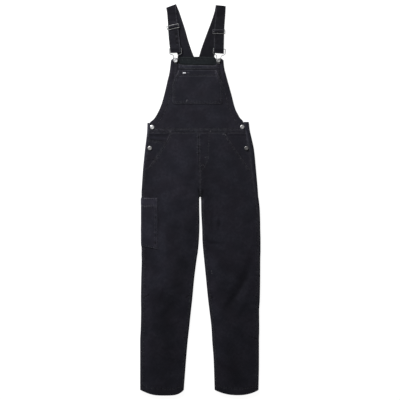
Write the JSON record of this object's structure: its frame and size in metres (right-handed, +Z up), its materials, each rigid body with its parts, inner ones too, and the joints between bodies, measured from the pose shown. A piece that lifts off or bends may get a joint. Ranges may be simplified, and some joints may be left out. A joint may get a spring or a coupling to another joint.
{
  "type": "bib overalls",
  "caption": "Black denim bib overalls laid flat, with bib pocket, hip pockets, a tool pocket on the thigh, and straps with sliders and wire clasps.",
  "frame": {"origin": "middle of the overall box, on the surface that the garment lies on", "axes": "+Y from the hems to the shoulder folds, +Z up out of the front of the garment, +X towards the wearer's left"},
  "size_m": [0.482, 1.5676, 0.0156],
  "materials": {
    "denim": "soft washed twill",
    "nickel": "satin nickel plate",
    "dark_nickel": "antiqued nickel plate",
    "tape": "plain woven tape"
  },
  "bodies": {
    "root": {"bib_front": "denim", "bib_top_band": "denim", "bib_pocket": "denim", "bib_pocket_band": "denim", "pocket_label": "tape", "waistband_front": "denim", "leg_front_r": "denim", "leg_front_l": "denim", "leg_back_r": "denim", "leg_back_l": "denim", "pocket_facing_r": "denim", "pocket_facing_l": "denim", "coin_pocket_r": "denim", "tool_pocket_r": "denim", "tool_pocket_band_r": "denim", "bib_back": "denim", "strap_r": "denim", "strap_l": "denim", "slider_r": "nickel", "slider_l": "nickel", "buckle_r": "nickel", "buckle_l": "nickel", "button_bib_r": "dark_nickel", "button_bib_l": "dark_nickel", "button_waist_r": "dark_nickel", "button_waist_l": "dark_nickel", "button_hip_r": "dark_nickel", "button_hip_l": "dark_nickel"}
  },
  "joints": []
}
